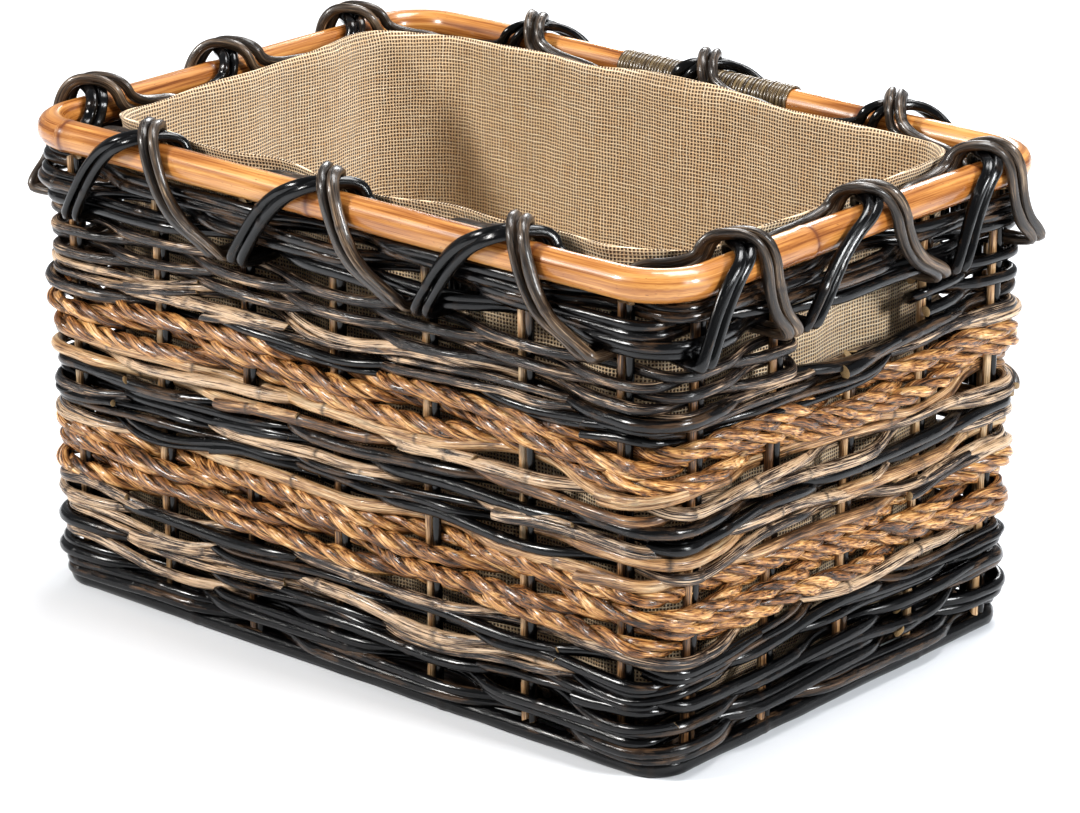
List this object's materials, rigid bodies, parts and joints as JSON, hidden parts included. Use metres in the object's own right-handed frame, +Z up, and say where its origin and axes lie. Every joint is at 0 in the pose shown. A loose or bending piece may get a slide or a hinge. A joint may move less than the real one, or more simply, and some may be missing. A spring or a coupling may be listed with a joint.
{
  "type": "lined wicker log basket",
  "caption": "Rectangular rattan log basket with woven walls, rope bands, a lashed rim pole, handholds in its ends and a lift-out burlap liner.",
  "frame": {"origin": "on the floor under the basket's centre", "axes": "+X along the long side, +Y across, from the front long side to the back one with the pole's splice, +Z up"},
  "size_m": [0.5808, 0.4168, 0.3456],
  "materials": {
    "black_rattan": "gloss",
    "grey_rattan": "satin",
    "tan_rattan": "satin",
    "leaf_rope": "satin",
    "golden_cane": "gloss",
    "binding_cane": "satin",
    "brown_cane": "satin",
    "burlap": "matte"
  },
  "bodies": {
    "basket": {"foot_hoop": "black_rattan", "base_hoop": "grey_rattan", "base_sticks": "tan_rattan", "base_weavers": "grey_rattan", "light_stakes": "tan_rattan", "dark_stakes": "black_rattan", "wale_rods": "black_rattan", "lower_weave_black": "black_rattan", "lower_weave_grey": "grey_rattan", "lower_ropes": "leaf_rope", "middle_weave_black": "black_rattan", "middle_weave_grey": "grey_rattan", "middle_weave_tan": "tan_rattan", "upper_ropes": "leaf_rope", "upper_weave_black": "black_rattan", "upper_weave_grey": "grey_rattan", "front_handhold_rod": "grey_rattan", "back_handhold_rod": "black_rattan", "border_rods": "black_rattan", "rim_pole": "golden_cane", "splice_binding": "binding_cane", "black_lashing": "black_rattan", "brown_lashing": "brown_cane"},
    "liner": {"liner_floor": "burlap", "liner_wall": "burlap"}
  },
  "joints": [
    {"name": "liner_lift", "type": "slide", "parent": "basket", "child": "liner", "axis": [0, 0, 1], "range_m": [0, 0.33]}
  ]
}
